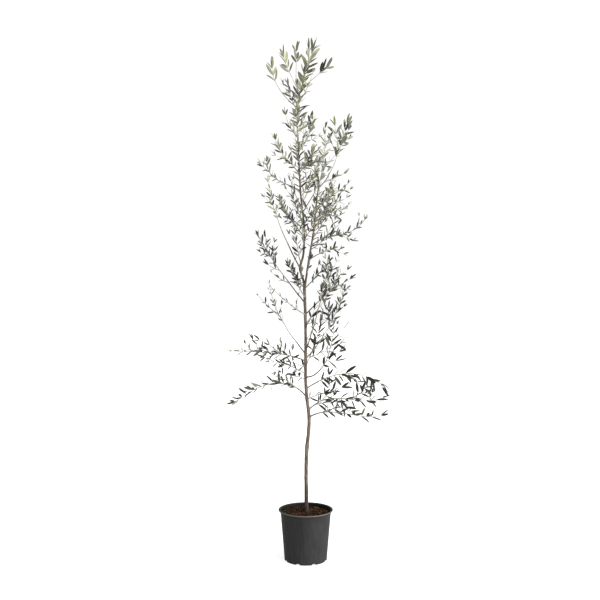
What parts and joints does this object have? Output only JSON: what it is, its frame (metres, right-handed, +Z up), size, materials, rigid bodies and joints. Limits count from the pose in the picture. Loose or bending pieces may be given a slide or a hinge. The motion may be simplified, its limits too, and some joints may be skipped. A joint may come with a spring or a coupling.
{
  "type": "potted olive tree",
  "caption": "Young standard olive tree with a slender bare lower trunk, an open upright crown of narrow leaves, and a round tapered nursery pot filled with compost.",
  "frame": {"origin": "centre of the pot's flat underside, on the ground", "axes": "+Z up along the trunk, +X to the right seen from the front, +Y to the back"},
  "size_m": [0.6573, 0.3819, 2.0086],
  "materials": {
    "pot": "matte",
    "compost": "matte",
    "bark": "matte",
    "green_wood": "matte",
    "foliage": "matte"
  },
  "bodies": {
    "root": {"bough_high_left_3": "green_wood", "bough_high_left_4": "green_wood", "bough_high_right_5": "green_wood", "bough_low_left_1": "green_wood", "bough_low_left_3": "green_wood", "bough_low_left_4": "green_wood", "bough_low_left_6": "green_wood", "bough_low_right_1": "green_wood", "bough_low_right_2": "green_wood", "bough_low_right_3": "green_wood", "bough_low_right_4": "green_wood", "bough_low_right_6": "green_wood", "bough_low_right_7": "green_wood", "bough_low_right_8": "green_wood", "foliage_high_left_1": "foliage", "foliage_high_left_2": "foliage", "foliage_high_left_3": "foliage", "foliage_high_left_4": "foliage", "foliage_high_left_5": "foliage", "foliage_high_left_6": "foliage", "foliage_high_left_7": "foliage", "foliage_high_left_8": "foliage", "foliage_high_left_9": "foliage", "foliage_high_right_1": "foliage", "foliage_high_right_2": "foliage", "foliage_high_right_3": "foliage", "foliage_high_right_4": "foliage", "foliage_high_right_5": "foliage", "foliage_high_right_6": "foliage", "foliage_high_right_7": "foliage", "foliage_high_right_8": "foliage", "foliage_low_left_1": "foliage", "foliage_low_left_2": "foliage", "foliage_low_left_3": "foliage", "foliage_low_left_4": "foliage", "foliage_low_left_5": "foliage", "foliage_low_left_6": "foliage", "foliage_low_left_7": "foliage", "foliage_low_right_1": "foliage", "foliage_low_right_10": "foliage", "foliage_low_right_2": "foliage", "foliage_low_right_3": "foliage", "foliage_low_right_4": "foliage", "foliage_low_right_5": "foliage", "foliage_low_right_6": "foliage", "foliage_low_right_7": "foliage", "foliage_low_right_8": "foliage", "foliage_low_right_9": "foliage", "foliage_middle_1": "foliage", "foliage_middle_2": "foliage", "foliage_middle_3": "foliage", "foliage_middle_4": "foliage", "foliage_middle_5": "foliage", "foliage_middle_6": "foliage", "foliage_top": "foliage", "leader_left": "bark", "leader_right": "bark", "pot": "pot", "soil": "compost", "trunk": "bark"}
  },
  "joints": []
}
